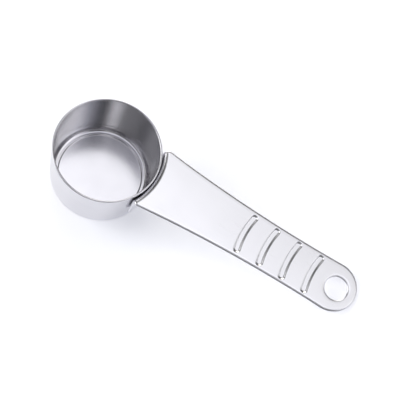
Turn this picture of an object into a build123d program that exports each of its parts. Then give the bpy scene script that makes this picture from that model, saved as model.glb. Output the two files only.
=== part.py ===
from build123d import *
import os
from math import atan2, cos, radians, sin, sqrt, tan

# Measuring spoon: a drawn steel cup, a stamped steel handle and the spot welds that join them.
# Millimetres, +Z up. The origin is the centre of the cup's flat base and the handle points along +X.

# Cup, drawn from one disc of sheet
rim_radius = 20.2  # outside, at the rim
base_radius = 19.1  # outside wall line carried down to the base plane
cup_height = 28.3
cup_wall = 0.8
corner_radius = 1.4  # inside, between the wall and the floor
border_width = 0.65  # inside, flat ring of floor between the corner and the panel's step
panel_drop = 0.4  # step down from the floor's border to its panel
rim_round_share = 0.4  # of the cup's wall, on both edges of the rim
step_round_share = 0.6  # of the panel's drop, on both edges of its step

# Handle, stamped and bent from one strip of sheet
handle_sheet = 1.0
handle_drop = 0.2  # rim down to the handle's top face
handle_reach = 104.7  # cup's axis to the handle's tip
tip_radius = 9.45
side_radius = 540.0  # hollow sweep of the long edges
waist_back = 16.5  # tip's centre back to the narrowest place
bend_radius = 1.2  # inside, between the flat and the flange
flange_depth = 16.0  # handle's top face down to the flange's lower edge
flange_spread = 65.6  # degrees about the cup's axis, from side to side
flange_ease = 2.6  # by which the flange is curved to a larger radius than the wall it touches
flange_corner = 1.8
shoulder_radius = 2.0  # in plan, between the flange's sides and the long edges
edge_round_share = 0.3  # of the handle's sheet, on its cut edges

# Hole for hanging
hole_radius = 4.35
hole_back = 7.9  # handle's tip back to the hole's centre

# Grip grooves, pressed down into the handle and curved in plan
groove_count = 4
groove_pitch = 9.4
groove_back = 10.8  # hole's centre back to the last groove, on the axis
groove_width = 2.1  # between the middles of its flanks
groove_depth = 0.5
groove_round_share = 0.45  # of the groove's depth, on its edges and its ridge's
ridge_skirt_share = 0.4  # of the handle's sheet, by which the ridge underneath is wider all round
groove_sweep = 32.0  # radius of a groove's centre line in plan
groove_margin = 1.25  # groove's end to the handle's edge at the waist

# Spot welds between the cup's wall and the flange
weld_count = 3
weld_radius = 1.5
weld_spread = 40.0  # degrees about the cup's axis, first weld to last
weld_drop = 8.6  # handle's top face down to the welds
weld_gap = 0.1  # between the cup's wall and the middle of the flange
weld_bite_share = 0.6  # of each sheet's thickness that a weld melts

overrun = 5.0  # that blanks and cutters pass beyond what they trim
clear_angle = 45.0  # degrees between two faces, above which their edge is a cut edge
half_turn = 180.0
step_angle = 45.0  # slope of the panel's step

taper = atan2(rim_radius - base_radius, cup_height)
handle_top = cup_height - handle_drop
handle_underside = handle_top - handle_sheet
flange_foot = handle_top - flange_depth
tip_x = handle_reach - tip_radius
waist_x = tip_x - waist_back
side_y = sqrt((side_radius + tip_radius) ** 2 - waist_back**2)
waist_half_width = side_y - side_radius
hole_x = handle_reach - hole_back


def wall_radius(z, outwards=0.0):
    """Radius of the cup's outer wall line at height z, moved squarely outwards."""
    return base_radius + z * tan(taper) + outwards / cos(taper)


def turned(section, ease=0.0):
    """Solid of a section turned with its radius grown by ease, and set so that it still meets its own place.

    The section gives radius and height, and the seam lies away from the handle.
    """
    return Pos(-ease, 0, 0) * Rot(0, 0, half_turn) * revolve(Plane.XZ * (Pos(ease, 0) * section), Axis.Z)


def cup_half(inset):
    """Half section of the cup's body as if solid, with its surface moved inwards by inset."""
    border = inset + panel_drop
    corner_reach = corner_radius * cos(taper) / (1 + sin(taper))
    border_end = wall_radius(panel_drop + cup_wall, -cup_wall) - corner_reach
    step_end = border_end - border_width + (cup_wall - inset) * tan(radians(step_angle / 2))
    step_start = step_end - panel_drop / tan(radians(step_angle))
    step_round = panel_drop * step_round_share
    wall_round = corner_radius + cup_wall - inset
    skin = FilletPolyline(
        (0, inset),
        (step_start, inset),
        (step_end, border),
        (wall_radius(border, -inset), border),
        (wall_radius(cup_height, -inset), cup_height),
        radius=[step_round, step_round, wall_round],
    )
    return make_face(skin + Polyline(skin @ 1, (0, cup_height), skin @ 0))


def make_cup():
    """Drawn cup: tapered wall, rounded corner, and a floor panel stepped down inside a border."""
    section = cup_half(0) - cup_half(cup_wall)
    rim = section.vertices().sort_by(Axis.Y)[-2:]
    return turned(fillet(rim, cup_wall * rim_round_share))


def handle_outline():
    """Plan outline: a wedge from the cup's axis, so that the flange's sides are square to its sheet, then
    two hollow long edges tangent to a round tip."""
    spread = radians(flange_spread / 2)
    along = waist_x * cos(spread) + side_y * sin(spread)
    shoulder_reach = along - sqrt(along**2 + side_radius**2 - waist_x**2 - side_y**2)
    lean = atan2(waist_back, side_y)
    tip_start = (tip_x - tip_radius * sin(lean), tip_radius * cos(lean))
    wedge = Line((0, 0), (shoulder_reach * cos(spread), shoulder_reach * sin(spread)))
    edge = wedge + ThreePointArc(wedge @ 1, (waist_x, waist_half_width), tip_start)
    other = mirror(edge, Plane.XZ)
    tip = ThreePointArc(edge @ 1, (handle_reach, 0), other @ 1)
    outline = make_face(edge + tip + other)
    return fillet(outline.vertices().group_by(Axis.X)[1], shoulder_radius)


def cut_edges(solid):
    """Edges at which two faces of a solid meet at a clear angle."""
    faces = solid.faces()
    found = ShapeList()
    for edge in solid.edges():
        normals = [face.normal_at(edge @ 0.5) for face in faces if edge in face.edges()]
        if len(normals) == 2 and normals[0].get_angle(normals[1]) > clear_angle:
            found.append(edge)
    return found


def corner_cutter():
    """Block of all that lies outside the round of the flange's lower corner, on its +Y side."""
    side = flange_corner + overrun
    centre = Pos(-flange_corner, flange_foot + flange_corner)
    block = centre * Pos(side / 2, -side / 2) * Rectangle(side, side) - centre * Circle(flange_corner)
    return Rot(0, 0, flange_spread / 2) * extrude(Plane.YZ * block, handle_reach)


def handle_blank():
    """Bent strip: a flat with a bend that follows the cup, and a flange that meets its wall in the middle."""
    far = handle_reach + overrun
    skins = []
    for depth in (0, handle_sheet):
        level = handle_top - depth
        skins.append(
            FilletPolyline(
                (far, level),
                (wall_radius(level, weld_gap + depth), level),
                (wall_radius(flange_foot, weld_gap + depth), flange_foot),
                radius=bend_radius + handle_sheet - depth,
            )
        )
    upper, lower = skins
    section = make_face(upper + lower + Line(upper @ 0, lower @ 0) + Line(upper @ 1, lower @ 1))
    blank = turned(section, flange_ease) & extrude(handle_outline(), cup_height)
    return blank - corner_cutter() - mirror(corner_cutter(), Plane.XZ)


def groove_plan(x, skirt):
    """Plan of one groove: a slot along an arc with round ends, widened all round by skirt."""
    run = waist_half_width - groove_margin - groove_width / 2
    lag = groove_sweep - sqrt(groove_sweep**2 - run**2)
    middle_line = ThreePointArc((x + lag, -run), (x, 0), (x + lag, run))
    return SlotArc(middle_line, groove_width + 2 * skirt)


def press_groove(handle, x):
    """Handle with one groove sunk into its top face and the ridge that it raises underneath."""
    ridge_foot = handle_underside - groove_depth
    edge_round = groove_depth * groove_round_share
    ridge = extrude(Pos(0, 0, ridge_foot) * groove_plan(x, handle_sheet * ridge_skirt_share), groove_depth)
    ridge = fillet(ridge.edges().group_by(Axis.Z)[0], edge_round)
    pocket = extrude(Pos(0, 0, handle_top - groove_depth) * groove_plan(x, 0), groove_depth)
    pocket = fillet(pocket.edges().group_by(Axis.Z)[0], edge_round)
    pressed = handle + ridge - pocket
    mouth = new_edges(handle, ridge, combined=pressed).group_by(Axis.Z)[-1]
    return fillet(mouth, edge_round)


def make_handle():
    """Stamped handle: bent strip with its hanging hole, rounded edges and grip grooves."""
    hole = Pos(hole_x, 0, 0) * extrude(Circle(hole_radius), cup_height)
    handle = handle_blank() - hole
    handle = fillet(cut_edges(handle), handle_sheet * edge_round_share)
    for index in range(groove_count):
        handle = press_groove(handle, hole_x - groove_back - index * groove_pitch)
    return handle


def weld_nugget(angle):
    """Round nugget of melted metal, square to the wall, that bridges the cup and the flange at an angle."""
    into_cup = cup_wall * weld_bite_share
    gap = weld_gap + flange_ease * (1 - cos(radians(angle)))
    level = handle_top - weld_drop + into_cup * sin(taper)
    start = (wall_radius(level, -into_cup), 0, level)
    square = Plane(start, z_dir=(cos(taper), 0, -sin(taper)))
    nugget = square * extrude(Circle(weld_radius), into_cup + gap + handle_sheet * weld_bite_share)
    return Rot(0, 0, angle) * nugget


def save(node, shape):
    """Write one sub-part as a STEP file named after its node."""
    export_step(shape, os.path.join("parts", node + ".step"))


os.makedirs("parts", exist_ok=True)
cup = make_cup()
handle = make_handle()
weld_step = weld_spread / (weld_count - 1)
nuggets = [weld_nugget(index * weld_step - weld_spread / 2) for index in range(weld_count)]
for nugget in nuggets:
    cup -= nugget
    handle -= nugget
save("cup", cup)
save("handle", handle)
save("spot_welds", Compound(children=nuggets))
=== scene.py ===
import bmesh
import bpy
import numpy as np
from mathutils import Matrix, Vector


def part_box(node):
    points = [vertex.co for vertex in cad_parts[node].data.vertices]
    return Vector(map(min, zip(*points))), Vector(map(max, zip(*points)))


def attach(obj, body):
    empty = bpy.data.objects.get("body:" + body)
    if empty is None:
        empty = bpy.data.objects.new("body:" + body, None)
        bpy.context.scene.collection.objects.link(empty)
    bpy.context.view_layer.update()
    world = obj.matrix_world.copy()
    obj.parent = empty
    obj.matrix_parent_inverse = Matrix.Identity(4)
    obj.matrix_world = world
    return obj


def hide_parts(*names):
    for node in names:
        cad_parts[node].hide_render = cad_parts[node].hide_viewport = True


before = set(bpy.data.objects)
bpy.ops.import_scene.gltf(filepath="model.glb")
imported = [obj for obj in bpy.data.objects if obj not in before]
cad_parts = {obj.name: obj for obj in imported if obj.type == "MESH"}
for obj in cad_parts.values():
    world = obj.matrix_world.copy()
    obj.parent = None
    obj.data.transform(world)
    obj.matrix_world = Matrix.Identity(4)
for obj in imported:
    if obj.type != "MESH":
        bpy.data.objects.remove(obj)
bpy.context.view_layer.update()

# A steel measuring spoon: a drawn cup and a stamped handle, in metres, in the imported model's frame. Each
# is made of grids of points, worked out as whole arrays: a profile turned about the cup's axis, and a flat
# chart of the handle that is bent, pressed and given rounded edges.
cup_low, cup_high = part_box("cup")
handle_low, handle_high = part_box("handle")
MM = 0.001

# Cup
rim_radius = -cup_low.x
cup_height = cup_high.z
wall_lean = 1.1 * MM  # by which the wall's radius grows from the base plane to the rim
cup_wall = 0.8 * MM
corner_radius = 1.4 * MM  # inside, between the wall and the floor
border_width = 0.65 * MM  # flat ring between the corner and the panel's step
panel_drop = 0.4 * MM
step_slope = np.radians(45)
step_round = 0.24 * MM
rim_round = 0.39 * MM
base_inset = 4.09 * MM  # rim's radius down to the circle of the base on which the leaning spoon rests

# Handle
sheet = 1.0 * MM
handle_top = handle_high.z
handle_reach = handle_high.x
flange_foot = handle_low.z
weld_gap = 0.1 * MM  # between the cup's wall and the middle of the flange
bend_radius = 1.2 * MM  # inside
flange_spread = np.radians(65.6 / 2)  # about the cup's axis, from the middle to one side
flange_ease = 2.6 * MM  # by which the flange's radius is larger than the wall's
flange_corner = 1.8 * MM  # radius of the flange's two lower corners
shoulder_radius = 2.0 * MM  # in plan, between the flange's sides and the long edges
side_radius = 540 * MM  # hollow sweep of the long edges
waist_back = 16.5 * MM  # tip's centre back to the narrowest place
tip_radius = 9.45 * MM
hole_radius = 4.35 * MM
hole_back = 7.9 * MM  # handle's tip back to the hole's centre
top_band = 0.9 * MM  # width of the band of the top skin that holds the rounded edge
under_band = 0.45 * MM  # the same underneath, outside the ridges
top_round = (0.76 * MM, 0.48 * MM)  # inwards and down
hole_round = (0.5 * MM, 0.35 * MM)
under_round = (0.3 * MM, 0.3 * MM)
round_power = 1.25  # of the sine and cosine that make the top round, 1 for a quarter ellipse
edge_wear_reach = 0.9 * MM  # how far tumbling dulled the steel from its edges
edge_roll = 0.05 * MM  # how far the punch drew the top face down at its edges
edge_roll_reach = 0.7 * MM
edge_roll_run = 3 * MM  # beyond the bend, over which the roll begins
arcs_from, arcs_to = 2 * MM, 26 * MM  # beyond the bend, where the stations change to groove-like arcs

# Grip grooves
groove_count = 4
groove_pitch = 9.4 * MM
groove_back = 10.8 * MM  # hole's centre back to the last groove
groove_width = 2.1 * MM  # between the middles of its flanks
groove_flank = 0.95 * MM  # width of each flank
groove_depth = 0.5 * MM
groove_sweep = 32 * MM  # radius of a groove's middle line in plan
groove_run = 6.75 * MM  # axis to the centre of a groove's round end
ridge_skirt = 0.4 * MM  # by which the ridge underneath is wider all round

# Steps of the grids
cup_steps = 360
section_steps = 12  # of each line and each arc of the cup's section
foot_steps = 9
flange_steps = 8
bend_steps = 15
shoulder_steps = 17
face_steps = 36
flank_steps = 17
plain_steps = 5  # between two grooves
side_steps = 9  # along each long edge from the last groove to the tip
tip_steps = 121
spoke_steps = 12
edge_steps = 13  # of each round of the sheet's edge
outer_share, outer_steps, middle_steps = 0.7, 29, 17  # closer steps across the handle near its edges
width_rounds = 40  # of the search for a station's width
station_digits = 9  # decimals of a metre, to which two stations count as one
merge_distance = 0.003 * MM

# Worked out from the sizes
wall_taper = np.arctan2(wall_lean, cup_height)
floor_top = panel_drop + cup_wall  # of the floor's border
side_y = np.sqrt((side_radius + tip_radius) ** 2 - waist_back**2)
tip_x = handle_reach - tip_radius
waist_x = tip_x - waist_back
waist_half_width = side_y - side_radius
hole_x = handle_reach - hole_back
tip_start_x = tip_x - tip_radius * waist_back / (side_radius + tip_radius)
hole_centre = np.array([hole_x, 0])
other_side = np.array([1, -1])  # turns a place in plan into its mirror image

# Round between the flange's side, a line from the cup's axis, and the long edge: its centre lies a
# shoulder_radius inside both.
side_ray = np.array([np.cos(flange_spread), np.sin(flange_spread)])
inwards = shoulder_radius * np.array([np.sin(flange_spread), -np.cos(flange_spread)])
to_side = np.array([waist_x, side_y]) - inwards
along_ray = side_ray @ to_side
ray_end = along_ray - np.sqrt(along_ray**2 - to_side @ to_side + (side_radius + shoulder_radius) ** 2)
round_x, round_y = ray_end * side_ray + inwards
round_start_x = ray_end * side_ray[0]
round_end_x = round_x + (waist_x - round_x) * shoulder_radius / (side_radius + shoulder_radius)


# Tools for shapes


def smooth(low, high, value):
    """Rises from 0 at low to 1 at high along 3 t^2 - 2 t^3."""
    t = np.clip((value - low) / (high - low), 0, 1)
    return t * t * (3 - 2 * t)


def spaced(start, end, count):
    """Values from start to end, closer together near both ends, along a half cosine."""
    return start + (end - start) * (1 - np.cos(np.linspace(0, np.pi, count))) / 2


def rounded_path(corners, rounds):
    """Path through corners whose turns are arcs: each arc starts round * tan(turn / 2) from its corner."""
    corners = np.array(corners, float)
    line_share = spaced(0, 1, section_steps)[:, None]
    runs = []
    last = corners[0]
    for before, corner, after, round_radius in zip(corners, corners[1:], corners[2:], rounds):
        back = (before - corner) / np.linalg.norm(before - corner)
        ahead = (after - corner) / np.linalg.norm(after - corner)
        turn = np.pi - np.arccos(back @ ahead)
        cut = round_radius * np.tan(turn / 2)
        centre = corner + (back + ahead) / np.linalg.norm(back + ahead) * round_radius / np.cos(turn / 2)
        side = np.sign(back[0] * ahead[1] - back[1] * ahead[0])
        angles = -side * np.linspace(0, turn, section_steps)
        spoke = corner + back * cut - centre
        cos, sin = np.cos(angles), np.sin(angles)
        arc = centre + np.stack([spoke[0] * cos - spoke[1] * sin, spoke[0] * sin + spoke[1] * cos], axis=1)
        runs += [last + (arc[0] - last) * line_share, arc]
        last = arc[-1]
    runs += [last + (corners[-1] - last) * line_share]
    return np.concatenate(runs)


def piece_of(name, grids, material, node):
    """One closed piece from grids of points: cells become faces, edges that lie together are merged."""
    places, faces, first = [], [], 0
    for grid in grids:
        rows, columns = grid.shape[:2]
        index = first + np.arange(rows * columns).reshape(rows, columns)
        cells = np.stack([index[:-1, :-1], index[1:, :-1], index[1:, 1:], index[:-1, 1:]], axis=2)
        places.append(grid.reshape(-1, 3))
        faces.append(cells.reshape(-1, 4))
        first += rows * columns
    mesh = bpy.data.meshes.new(name)
    mesh.from_pydata(np.concatenate(places), [], np.concatenate(faces).tolist())
    work = bmesh.new()
    work.from_mesh(mesh)
    bmesh.ops.remove_doubles(work, verts=work.verts, dist=merge_distance)
    bmesh.ops.recalc_face_normals(work, faces=work.faces)
    work.to_mesh(mesh)
    work.free()
    mesh.polygons.foreach_set("use_smooth", np.ones(len(mesh.polygons), bool))
    mesh.materials.append(material)
    piece = bpy.data.objects.new(name, mesh)
    bpy.context.scene.collection.objects.link(piece)
    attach(piece, "root")
    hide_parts(node)
    return piece


# The cup's shape


def wall_line(height, outwards=0.0):
    """Radius of the cup's outer wall at a height, moved squarely outwards."""
    return rim_radius + (height - cup_height) * np.tan(wall_taper) + outwards / np.cos(wall_taper)


corner_reach = corner_radius * np.cos(wall_taper) / (1 + np.sin(wall_taper))
border_end = wall_line(floor_top, -cup_wall) - corner_reach


def cup_profile():
    """Radius and height along the cup's section, from the base's middle round the rim to the floor's."""
    shift = cup_wall * np.tan(step_slope / 2)
    step_run = panel_drop / np.tan(step_slope)
    inner_step = border_end - border_width
    outside = [
        (0, 0),
        (inner_step + shift - step_run, 0),
        (inner_step + shift, panel_drop),
        (wall_line(panel_drop), panel_drop),
        (wall_line(cup_height), cup_height),
    ]
    inside = [
        (wall_line(cup_height, -cup_wall), cup_height),
        (wall_line(floor_top, -cup_wall), floor_top),
        (inner_step, floor_top),
        (inner_step - step_run, cup_wall),
        (0, cup_wall),
    ]
    outside_rounds = [step_round, step_round, corner_radius + cup_wall, rim_round]
    inside_rounds = [rim_round, corner_radius, step_round, step_round]
    return rounded_path(outside + inside, outside_rounds + inside_rounds)


def turned(profile):
    """Grid of a profile turned about the cup's axis: radius times cosine and sine of the turn, height."""
    angle = np.linspace(0, 2 * np.pi, cup_steps + 1)
    radius, height = profile[:, :1], profile[:, 1:]
    return np.stack([radius * np.cos(angle), radius * np.sin(angle), height + 0 * angle], axis=2)


# The handle's shape. In its chart, path runs up from the flange's foot, over the bend and along the flat.
outer_bend = bend_radius + sheet
bend_z = handle_top - outer_bend
bend_r = wall_line(bend_z, weld_gap + outer_bend)
flange_length = (bend_z + outer_bend * np.sin(wall_taper) - flange_foot) / np.cos(wall_taper)
bend_length = outer_bend * (np.pi / 2 - wall_taper)
flat_start = flange_length + bend_length


def path_of(x):
    """Path value of a place on the flat, from its distance along the axis."""
    return flat_start + x - bend_r


def on_handle(path, y, depth):
    """Place in the frame of a path value, a width and a depth under the top skin.

    The section is a straight flange, an arc and a straight flat. Up to the bend it is turned about a line
    flange_ease behind the cup's axis, and depth is measured towards the cup's axis. Along the flat its
    stations change from those arcs to arcs like the grooves. The width is that of the top skin.
    """
    down = np.maximum(flange_length - path, 0)
    turn = np.pi - wall_taper - np.clip((path - flange_length) / outer_bend, 0, np.pi / 2 - wall_taper)
    out = np.maximum(path - flat_start, 0)
    run = bend_r + flange_ease - down * np.sin(wall_taper) + out
    skin, layer = run + outer_bend * np.cos(turn), run + (outer_bend - depth) * np.cos(turn)
    z = bend_z + (outer_bend - depth) * np.sin(turn) - down * np.cos(wall_taper)
    azimuth = np.arctan2(y, np.sqrt(skin**2 - y**2) - flange_ease)
    reach = np.sqrt(layer**2 - (flange_ease * np.sin(azimuth)) ** 2) - flange_ease * np.cos(azimuth)
    groove_like = smooth(arcs_from, arcs_to, out)
    lag = groove_sweep - np.sqrt(groove_sweep**2 - y**2)
    x = (1 - groove_like) * reach * np.cos(azimuth) + groove_like * (layer - flange_ease + lag)
    y = (1 - groove_like) * reach * np.sin(azimuth) + groove_like * y
    return np.stack(np.broadcast_arrays(x, y, z), axis=-1)


def half_width(x):
    """Half the handle's width: a line from the cup's axis, the shoulder's arc, a hollow edge, the tip."""
    wedge = x * np.tan(flange_spread)
    shoulder = round_y + np.sqrt(np.maximum(shoulder_radius**2 - (x - round_x) ** 2, 0))
    side = side_y - np.sqrt(side_radius**2 - (x - waist_x) ** 2)
    tip = np.sqrt(np.maximum(tip_radius**2 - (x - tip_x) ** 2, 0))
    return np.select([x < round_start_x, x < round_end_x, x < tip_start_x], [wedge, shoulder, side], tip)


def edge_distance(x, y):
    """Distance from a place on the flat to the handle's outline."""
    return np.where(x < tip_start_x, half_width(x) - np.abs(y), tip_radius - np.hypot(x - tip_x, y))


def groove_middle(index):
    """Distance along the axis to the middle of a groove, where the one nearest the hole is number 0."""
    return hole_x - groove_back - index * groove_pitch


def groove_distance(x, y, index):
    """Distance from a place on the flat to the middle line of one groove, an arc with two ends."""
    centre = groove_middle(index) + groove_sweep
    reach = np.arcsin(groove_run / groove_sweep)
    angle = np.clip(np.arctan2(y, centre - x), -reach, reach)
    return np.hypot(x - centre + groove_sweep * np.cos(angle), y - groove_sweep * np.sin(angle))


def pressed(x, y, skirt):
    """Depth pressed into the sheet: half a cosine from the groove's floor up each flank."""
    depth = np.zeros(np.broadcast(x, y).shape)
    for index in range(groove_count):
        distance = groove_distance(x, y, index)
        share = np.clip((distance - skirt - groove_width / 2) / groove_flank + 0.5, 0, 1)
        depth = np.maximum(depth, groove_depth * (1 + np.cos(np.pi * share)) / 2)
    return depth


def rolled(distance):
    """Fall of the top skin near a cut edge, along a bell curve."""
    return edge_roll * np.exp(-((distance / edge_roll_reach) ** 2))


def roll_share(x):
    """How much of the edge's roll there is at a place: none at the bend, all of it a little way on."""
    return smooth(bend_r, bend_r + edge_roll_run, x)


def top_skin(path, y):
    """Top skin of the strip at path values and widths, with its grooves and rolled edges."""
    x = on_handle(path, y, 0.0)[..., 0]
    return on_handle(path, y, pressed(x, y, 0.0) + roll_share(x) * rolled(edge_distance(x, y)))


def under_skin(path, y):
    """Under skin of the strip at path values and widths, with the ridges that the grooves raise."""
    x = on_handle(path, y, 0.0)[..., 0]
    return on_handle(path, y, sheet + pressed(x, y, ridge_skirt))


def edge_profile(roll, top):
    """Inset and depth round the sheet's edge: a superellipse, the cut wall, and a quarter ellipse.

    The superellipse goes out by the sine to a power while it falls by 1 less the cosine to that power.
    Its reach inwards and down is top, and roll is the share of the edge's roll that is added to it.
    """
    turn = np.linspace(0, np.pi / 2, edge_steps)
    out, down = np.sin(turn) ** round_power, 1 - np.maximum(np.cos(turn), 0) ** round_power
    top_inset, under_inset = top[0] * (1 - out), under_round[0] * (1 - np.cos(turn))
    top_depth, under_depth = top[1] * down, sheet - under_round[1] * (1 - np.sin(turn))
    inset = np.concatenate([[top_band], top_inset, under_inset, [under_band]])
    depth = np.concatenate([[0], top_depth, under_depth, [sheet]])
    return inset, depth + roll * rolled(inset) * (1 - depth / sheet)


def handle_stations():
    """Path values: the foot's corner, flange, bend, shoulder, plain face, then close steps over grooves.

    The strip ends just past groove 0.
    """
    face_start, face_end = bend_r + shoulder_radius, groove_middle(groove_count - 1) - groove_width
    flank = np.linspace(groove_width / 2 - groove_flank, groove_width / 2 + groove_flank, flank_steps)
    flank += ridge_skirt / 2  # midway between the flanks of the groove and of its ridge
    plain = np.linspace(groove_width, groove_pitch - groove_width, plain_steps)
    stations = [
        flange_corner * (1 - np.cos(np.linspace(0, np.pi / 2, foot_steps))),
        np.linspace(flange_corner, flange_length, flange_steps),
        np.linspace(flange_length, flat_start, bend_steps),
        path_of(np.linspace(bend_r, face_start, shoulder_steps)),
        path_of(np.linspace(face_start, face_end, face_steps)),
    ]
    for index in range(groove_count):
        after = plain if index else plain[:1]
        stations.append(path_of(groove_middle(index) + np.concatenate([-flank, [0], flank, after])))
    return np.unique(np.round(np.concatenate(stations), station_digits))


def station_widths(path):
    """Half the width of each station, found in rounds: the outline's, where the last round's width lies."""
    half = path * 0 + waist_half_width
    for _ in range(width_rounds):
        half = half_width(on_handle(path, half, 0.0)[..., 0])
    return half


def shares_across():
    """Shares of the half width at which the strip's points lie, from one edge to the other."""
    middle = np.linspace(-outer_share, outer_share, middle_steps)
    outer = np.linspace(outer_share, 1, outer_steps)
    return np.concatenate([-outer[::-1], middle[1:-1], outer])


def strip_grids(path, half, across):
    """Grids of the strip: top skin, under skin, an edge band on each side, and the band of its foot.

    Near the foot the corner is a quarter circle: each inset turns from across the strip to along it.
    """
    to_foot = np.maximum(1 - path / flange_corner, 0)
    outwards = np.sqrt(1 - to_foot**2)
    half = half - flange_corner * (1 - outwards)
    top = top_skin(path + top_band * to_foot, across * (half - top_band * outwards))
    under = under_skin(path + under_band * to_foot, across * (half - under_band * outwards))
    grids = [top, under]
    inset, depth = edge_profile(roll_share(on_handle(path, half, 0.0)[..., 0]), top_round)
    for side in (-1, 1):
        grids.append(on_handle(path + inset * to_foot, side * (half - inset * outwards), depth))
    inset, depth = edge_profile(0.0, top_round)
    grids.append(on_handle(inset[:, None], across * half[0], depth[:, None]))
    return grids


def tip_outline(start_x):
    """Outline round the tip, from one long edge to the other, and its outward normals.

    The normals are those of a wide arc on the long edges, and point out from the tip's centre round it.
    """
    side_x = np.linspace(start_x, tip_start_x, side_steps)
    side = np.stack([side_x, half_width(side_x)], axis=1)
    side_normals = np.stack([(waist_x - side_x) / side_radius, 1 + 0 * side_x], axis=1)
    side_normals[0] = (0, 1)  # straight across, as on the strip
    lean = np.arcsin((tip_x - tip_start_x) / tip_radius)
    turn = np.linspace(np.pi / 2 + lean, -np.pi / 2 - lean, tip_steps)
    spokes = np.stack([np.cos(turn), np.sin(turn)], axis=1)
    places = [side[:-1], (tip_x, 0) + tip_radius * spokes, (side * other_side)[-2::-1]]
    normals = [side_normals[:-1], spokes, (side_normals * other_side)[-2::-1]]
    return np.concatenate(places), np.concatenate(normals)


def at_depth(plan, depth):
    """Grid of places from their plan and their depth under the handle's top."""
    level = np.broadcast_to(handle_top - depth, plan.shape[:2])
    return np.concatenate([plan, level[..., None]], axis=2)


def top_drop(x, y):
    """Depth of the top skin round the hole: the roll at the outline and at the hole, and a groove."""
    at_hole = rolled(np.hypot(x - hole_x, y) - hole_radius)
    return rolled(edge_distance(x, y)) + at_hole + pressed(x, y, 0.0)


def under_drop(x, y):
    """Depth of the under skin round the hole: the sheet, and a groove's ridge."""
    return sheet + pressed(x, y, ridge_skirt)


def tip_grids(end, half, across):
    """Grids of the tip: its edge band, both skins, and the hole's wall.

    The skins run along spokes from the hole's edge out to a loop, which follows the tip's edge band and
    goes back across the last station, at path value end.
    """
    outline, normals = tip_outline(on_handle(end, half, 0.0)[0])
    inset, depth = edge_profile(1.0, top_round)
    plan = outline[:, None, :] - inset[None, :, None] * normals[:, None, :]
    plan[0] = on_handle(end, half - inset, 0.0)[:, :2]  # on the strip's last station
    plan[-1] = plan[0] * other_side
    grids = [at_depth(plan, depth)]
    loops = []
    for column, band in ((0, top_band), (-1, under_band)):
        station = on_handle(end, across * (half - band), 0.0)[1:-1, :2]
        loops.append(np.concatenate([plan[:, column], station, plan[:1, column]]))
    spokes = loops[0] - hole_centre
    spokes /= np.linalg.norm(spokes, axis=1)[:, None]
    share = spaced(0, 1, spoke_steps)[:, None, None]
    for loop, band, drop in zip(loops, (top_band, under_band), (top_drop, under_drop)):
        start = hole_centre + (hole_radius + band) * spokes
        skin = start + (loop - start) * share
        grids.append(at_depth(skin, drop(skin[..., 0], skin[..., 1])))
    inset, depth = edge_profile(1.0, hole_round)
    wall = hole_centre + (hole_radius + inset)[:, None, None] * spokes
    grids.append(at_depth(wall, depth[:, None]))
    return grids


def make_handle_grids():
    """Grids of the stamped handle: the strip with flange, bend and grooves, then the tip with its hole."""
    path = handle_stations()[:, None]
    half = station_widths(path)
    across = shares_across()
    return strip_grids(path, half, across) + tip_grids(path[-1, 0], half[-1, 0], across)


def add_edge_wear(mesh):
    """Attribute that falls along a bell curve from 1 at the outline and at the hole's edge."""
    places = np.empty(3 * len(mesh.vertices), np.float32)
    mesh.vertices.foreach_get("co", places)
    x, y, _ = places.reshape(-1, 3).T
    distance = np.minimum(np.abs(edge_distance(x, y)), np.abs(np.hypot(x - hole_x, y) - hole_radius))
    worn = mesh.attributes.new("edge_wear", "FLOAT", "POINT")
    worn.data.foreach_set("value", np.exp(-((distance / edge_wear_reach) ** 2)).astype(np.float32))


# Tools for materials


class Wire:
    """An output of a shader tree. A sum, difference or product of wires and numbers adds its Math nodes."""

    def __init__(self, tree, socket):
        self.tree, self.socket = tree, socket

    def maths(self, operation, *terms):
        """Wire of a Math node that takes the terms in their order."""
        return add_node(self.tree, "ShaderNodeMath", {"operation": operation}, dict(enumerate(terms)))

    def __add__(self, other):
        return self.maths("ADD", self, other)

    def __sub__(self, other):
        return self.maths("SUBTRACT", self, other)

    def __rsub__(self, other):
        return self.maths("SUBTRACT", other, self)

    def __mul__(self, other):
        return self.maths("MULTIPLY", self, other)

    def root(self):
        """Square root."""
        return self.maths("SQRT", self)

    __radd__, __rmul__ = __add__, __mul__

    def between(self, low, high):
        """0 below low, 1 above high, and a smooth rise between them."""
        settings = {"interpolation_type": "SMOOTHSTEP"}
        inputs = {0: self, 1: low, 2: high, 3: 0.0, 4: 1.0}
        return add_node(self.tree, "ShaderNodeMapRange", settings, inputs)


def add_node(tree, kind, settings, inputs, output=0):
    """A node of a kind, with its settings made first, then values or wires for its sockets."""
    node = tree.nodes.new(kind)
    for name, value in settings.items():
        setattr(node, name, value)
    for name, value in inputs.items():
        if isinstance(value, Wire):
            tree.links.new(value.socket, node.inputs[name])
        else:
            node.inputs[name].default_value = value
    return Wire(tree, node.outputs[output])


def new_material(name):
    """An empty material: its tree and the object coordinates."""
    material = bpy.data.materials.new(name)
    material.use_nodes = True
    material.node_tree.nodes.clear()
    tree = material.node_tree
    return material, tree, add_node(tree, "ShaderNodeTexCoord", {}, {}, "Object")


def close_tree(tree, kind, surface):
    """Output node of a material or a world, fed by its last shader."""
    end = tree.nodes.new(kind)
    tree.links.new(surface.socket, end.inputs["Surface"])


def noise(tree, place, scale, detail=2.0):
    """Smooth noise, about 0 to 1 round 0.5, at so many cells a metre."""
    return add_node(tree, "ShaderNodeTexNoise", {}, {"Vector": place, "Scale": scale, "Detail": detail})


def blend(tree, share, first, second):
    """Colour between two colours: the first at share 0 and the second at share 1."""
    inputs = {0: share, 6: (*first, 1), 7: (*second, 1)}
    return add_node(tree, "ShaderNodeMix", {"data_type": "RGBA"}, inputs, 2)


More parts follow.
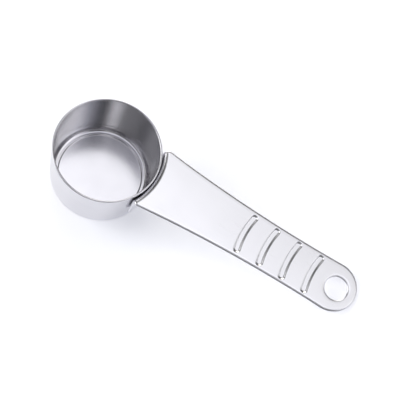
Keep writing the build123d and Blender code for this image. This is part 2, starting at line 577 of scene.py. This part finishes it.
def steel(tree, colour, roughness, height, relief):
    """Bare steel: metal with a colour, a roughness and a relief of so many metres."""
    bump = add_node(tree, "ShaderNodeBump", {}, {"Strength": 1.0, "Distance": relief, "Height": height})
    sockets = {"Base Color": colour, "Metallic": 1.0, "Roughness": roughness, "Normal": bump}
    close_tree(tree, "ShaderNodeOutputMaterial", add_node(tree, "ShaderNodeBsdfPrincipled", {}, sockets))


def parts_of(tree, place):
    """The three coordinates of a place."""
    split = add_node(tree, "ShaderNodeSeparateXYZ", {}, {"Vector": place})
    node = split.socket.node
    return [Wire(tree, node.outputs[name]) for name in ("X", "Y", "Z")]


def rays_of(tree, *kinds):
    """1 for rays of the named kinds, 0 for all others."""
    shares = [add_node(tree, "ShaderNodeLightPath", {}, {}, kind) for kind in kinds]
    return sum(shares[1:], shares[0])


# Finishes: the greys that clouds mix, how many cells of a noise a metre holds, the relief's height, and the
# roughness of plain steel and what each mark adds to it
cup_greys = (0.7, 0.692, 0.722), (0.65, 0.645, 0.672)
cup_cloud_cells = 90.0
cup_line_cells = 3500.0
line_wander = 0.2 * MM  # by which the turned lines leave true circles
line_break = 30 * MM  # by which clouds shift the noise, so that no line runs all the way round
rim_rub = 0.7 * MM  # from the rim down
base_rub_from, base_rub_to = 0.2 * MM, 1.6 * MM  # up from the base
base_rub_share = 0.6  # of the rim's rub
drawn_blur = 0.15 * MM  # to each side of the border's outer edge, over which the duller corner begins
drawn_fade = 2 * MM  # up the wall, over which it ends
cup_roughness, line_roughness, rub_roughness, drawn_roughness = 0.115, 0.09, 0.06, 0.02
cloud_roughness = 0.05
handle_greys = (0.825, 0.82, 0.845), (0.775, 0.77, 0.795)
handle_cloud_cells = 60.0
grain_cells = 4500.0
grain_stretch = 0.03  # of the cells' number, along the handle
handle_roughness, grain_roughness, wear_roughness = 0.19, 0.08, 0.05
satin_relief = 0.0012 * MM
weld_greys = (0.62, 0.61, 0.60), (0.50, 0.49, 0.47)
blotch_cells = 900.0
weld_roughness, blotch_roughness = 0.4, 0.2
weld_relief = 0.02 * MM
fine_detail = 3.0


def cup_satin_steel():
    """Drawn steel with faint lines turned round the cup's axis.

    The corner that was drawn round the punch, the rim and the base's edge are duller.
    """
    material, tree, place = new_material("cup_satin_steel")
    x, y, z = parts_of(tree, place)
    radius = (x * x + y * y).root()
    cloud = noise(tree, place, cup_cloud_cells)
    wander = line_wander * cloud
    parts = {0: radius + wander, 1: z + wander, 2: line_break * cloud}
    rings = add_node(tree, "ShaderNodeCombineXYZ", {}, parts)
    lines = noise(tree, rings, cup_line_cells, fine_detail)
    at_rim = z.between(cup_height - rim_rub, cup_height)
    at_base = 1 - z.between(base_rub_from, base_rub_to)
    rubbed = at_rim + base_rub_share * at_base
    corner_top = floor_top + corner_radius
    above_corner = z.between(corner_top, corner_top + drawn_fade)
    outside_border = radius.between(border_end - drawn_blur, border_end + drawn_blur)
    drawn = outside_border * (1 - above_corner)
    roughness = cup_roughness + line_roughness * lines + cloud_roughness * cloud
    roughness = roughness + rub_roughness * rubbed + drawn_roughness * drawn
    steel(tree, blend(tree, cloud, *cup_greys), roughness, lines, satin_relief)
    return material


def handle_satin_steel():
    """Stamped steel with a fine long grain, soft clouds in its gloss, and edges dulled by tumbling."""
    material, tree, place = new_material("handle_satin_steel")
    cloud = noise(tree, place, handle_cloud_cells)
    stretched = add_node(tree, "ShaderNodeMapping", {}, {"Vector": place, "Scale": (grain_stretch, 1, 1)})
    grain = noise(tree, stretched, grain_cells, fine_detail)
    worn = add_node(tree, "ShaderNodeAttribute", {"attribute_name": "edge_wear"}, {}, "Fac")
    roughness = handle_roughness + grain_roughness * grain + cloud_roughness * cloud
    roughness = roughness + wear_roughness * worn
    steel(tree, blend(tree, cloud, *handle_greys), roughness, grain, satin_relief)
    return material


def weld_dull_steel():
    """Steel that melted and set again: blotchy grey with fine grain."""
    material, tree, place = new_material("weld_dull_steel")
    blotch = noise(tree, place, blotch_cells, fine_detail)
    roughness = weld_roughness + blotch_roughness * blotch
    steel(tree, blend(tree, blotch, *weld_greys), roughness, blotch, weld_relief)
    return material


piece_of("drawn_cup", [turned(cup_profile())], cup_satin_steel(), "cup")
stamped = piece_of("stamped_handle", make_handle_grids(), handle_satin_steel(), "handle")
add_edge_wear(stamped.data)
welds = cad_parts["spot_welds"]
welds.data.materials.clear()
welds.data.materials.append(weld_dull_steel())

# Table: the empty spoon leans on its base's edge and its tip, so in its own frame the table leans
table_size = 3.0  # from its middle to each side
table_gap = 0.03 * MM  # under the spoon
table_glow = 0.42  # on top of the light that it throws back
glow_tint = (0.94, 0.96, 1.05, 1)
table_paint = (0.92, 0.92, 0.92, 1)
base_edge = rim_radius - base_inset
table_tilt = np.arctan2(handle_top - sheet, handle_reach - base_edge)
along = Vector((np.cos(table_tilt), 0, np.sin(table_tilt)))
across_table = Vector((0, 1, 0))
level_up = Vector((-np.sin(table_tilt), 0, np.cos(table_tilt)))


def table_white():
    """Matt white that glows for the eye and in reflections, and that can't be seen from underneath."""
    material, tree, _ = new_material("table_white")
    matt = add_node(tree, "ShaderNodeBsdfDiffuse", {}, {"Color": table_paint})
    strength = table_glow * rays_of(tree, "Is Camera Ray", "Is Glossy Ray", "Is Transmission Ray")
    glow = add_node(tree, "ShaderNodeEmission", {}, {"Color": glow_tint, "Strength": strength})
    both = add_node(tree, "ShaderNodeAddShader", {}, {0: matt, 1: glow})
    clear = add_node(tree, "ShaderNodeBsdfTransparent", {}, {})
    behind = add_node(tree, "ShaderNodeNewGeometry", {}, {}, "Backfacing")
    shown = add_node(tree, "ShaderNodeMixShader", {}, {0: behind, 1: both, 2: clear})
    close_tree(tree, "ShaderNodeOutputMaterial", shown)
    return material


def make_table():
    """Plain square table under the spoon."""
    middle = Vector((base_edge, 0, 0)) - level_up * table_gap
    ways = (-along - across_table, along - across_table, along + across_table, across_table - along)
    mesh = bpy.data.meshes.new("table")
    mesh.from_pydata([middle + way * table_size for way in ways], [], [(0, 1, 2, 3)])
    mesh.materials.append(table_white())
    table = bpy.data.objects.new("table", mesh)
    bpy.context.scene.collection.objects.link(table)


make_table()

# Soft boxes round the spoon: where each stands, how many degrees from its middle to its faded edge, how
# bright its middle is, and its tint
plain, warm, cool = (1.0, 1.0, 1.0), (1.08, 1.01, 0.91), (0.96, 0.97, 1.07)
soft_boxes = {
    "left window": ((-0.88, -0.31, 0.34), 26, 3.2, plain),
    "left window, upper part": ((-0.64, -0.15, 0.75), 22, 0.5, plain),
    "left window, lower part": ((-0.98, 0.0, 0.20), 24, 1.2, plain),
    "left window, front part": ((-0.60, -0.66, 0.45), 26, 0.5, cool),
    "strip behind, near the table": ((-0.36, 0.93, 0.02), 26, 3.0, warm),
    "strip behind on the left": ((-0.66, 0.75, 0.06), 26, 1.5, plain),
    "panel over the strip": ((-0.43, 0.81, 0.40), 26, 1.0, plain),
    "overhead": ((0.0, 0.32, 0.95), 24, 0.8, plain),
    "overhead, left": ((-0.28, 0.32, 0.90), 20, 0.36, plain),
    "overhead, nearer": ((-0.03, 0.03, 1.0), 24, 1.1, cool),
    "right": ((0.58, 0.30, 0.76), 28, 1.35, plain),
    "right, nearer": ((0.64, -0.10, 0.76), 22, 0.7, cool),
    "right, lower": ((0.78, 0.10, 0.62), 26, 0.25, cool),
    "low at the right, in front": ((0.70, -0.68, 0.22), 32, 0.35, plain),
    "front fill": ((-0.06, -0.62, 0.78), 28, 0.27, plain),
    "narrow strip in front": ((0.19, -0.46, 0.87), 8, 1.5, plain),
}
horizon_fade = 0.04  # sine of the angle below the table's horizon at which reflections see plain white


def make_studio():
    """Soft studio light: the sum of the soft boxes, each fading smoothly to nothing away from its middle.

    The eye sees plain white behind them, and reflections see it below the table's horizon.
    """
    world = bpy.data.worlds.new("studio")
    bpy.context.scene.world = world
    world.use_nodes = True
    tree = world.node_tree
    tree.nodes.clear()
    way = add_node(tree, "ShaderNodeTexCoord", {}, {}, "Generated")
    total = (0.0, 0.0, 0.0)
    for towards, spread, bright, tint in soft_boxes.values():
        facing = {0: way, 1: Vector(towards).normalized()}
        share = add_node(tree, "ShaderNodeVectorMath", {"operation": "DOT_PRODUCT"}, facing, "Value")
        share = share.between(np.cos(np.radians(spread)), 1.0)
        colour = {0: [bright * part for part in tint], "Scale": share}
        lit = add_node(tree, "ShaderNodeVectorMath", {"operation": "SCALE"}, colour)
        total = add_node(tree, "ShaderNodeVectorMath", {"operation": "ADD"}, {0: lit, 1: total})
    rising = {0: way, 1: level_up}
    rise = add_node(tree, "ShaderNodeVectorMath", {"operation": "DOT_PRODUCT"}, rising, "Value")
    below = 1 - rise.between(-horizon_fade, 0.0)
    white = rays_of(tree, "Is Camera Ray") + rays_of(tree, "Is Glossy Ray", "Is Transmission Ray") * below
    white = add_node(tree, "ShaderNodeCombineXYZ", {}, {0: white, 1: white, 2: white})
    total = add_node(tree, "ShaderNodeVectorMath", {"operation": "ADD"}, {0: white, 1: total})
    light = add_node(tree, "ShaderNodeBackground", {}, {"Color": total, "Strength": 1.0})
    close_tree(tree, "ShaderNodeOutputWorld", light)


make_studio()

# Camera, at the photograph's angle, with its lens and sensor in the camera's own millimetres
lens_length, sensor_width = 103.5, 36.0
camera_place = Vector((37.633, -145.4, 418.335)) * MM
camera_right = Vector((0.85567, 0.48389, 0.18355))
camera_ahead = Vector((0.00098, 0.35315, -0.93557))
camera_up = camera_right.cross(camera_ahead)
camera = bpy.data.objects.new("camera", bpy.data.cameras.new("camera"))
bpy.context.scene.collection.objects.link(camera)
camera.data.lens = lens_length
camera.data.sensor_width = sensor_width
camera.data.clip_start = 10 * MM
turning = Matrix((camera_right, camera_up, -camera_ahead)).transposed()
camera.matrix_world = Matrix.Translation(camera_place) @ turning.to_4x4()
bpy.context.scene.camera = camera
bpy.context.scene.view_settings.view_transform = "Standard"
